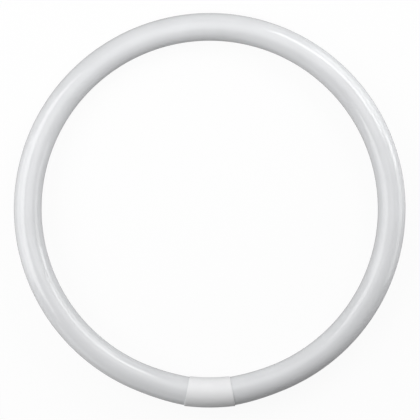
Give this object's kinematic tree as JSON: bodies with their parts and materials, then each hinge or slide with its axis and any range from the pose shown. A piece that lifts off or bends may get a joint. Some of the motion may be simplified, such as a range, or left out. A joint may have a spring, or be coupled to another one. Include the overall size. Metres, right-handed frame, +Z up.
{
  "type": "circular fluorescent lamp",
  "caption": "White ring-shaped fluorescent lamp whose glass ends meet in a moulded cap with contact pins on its back, giving even light all round a fitting.",
  "frame": {"origin": "on the axis of the glass ring, in the plane of the contact pins' tips, which is the lamp's lowest plane", "axes": "+Z up out of the lamp's front face, square to the plane of the ring; the cap is at -Y and the pins point along -Z; +X is along the tube at the cap, to the right as seen from the front with the cap at the bottom"},
  "size_m": [0.4064, 0.4093, 0.0394],
  "materials": {
    "coated_glass": "clear glossy glass over an even white powder coat, opaque",
    "cap_plastic": "moulded white plastic, soft gloss",
    "pin_metal": "nickel-plated brass, satin",
    "wire_metal": "drawn nickel-iron wire"
  },
  "bodies": {
    "root": {"glass_tube": "coated_glass", "cap_front_shell": "cap_plastic", "cap_back_shell": "cap_plastic", "contact_pin_1": "pin_metal", "contact_pin_2": "pin_metal", "contact_pin_3": "pin_metal", "contact_pin_4": "pin_metal", "lead_wire_1": "wire_metal", "lead_wire_2": "wire_metal", "lead_wire_3": "wire_metal", "lead_wire_4": "wire_metal"}
  },
  "joints": []
}
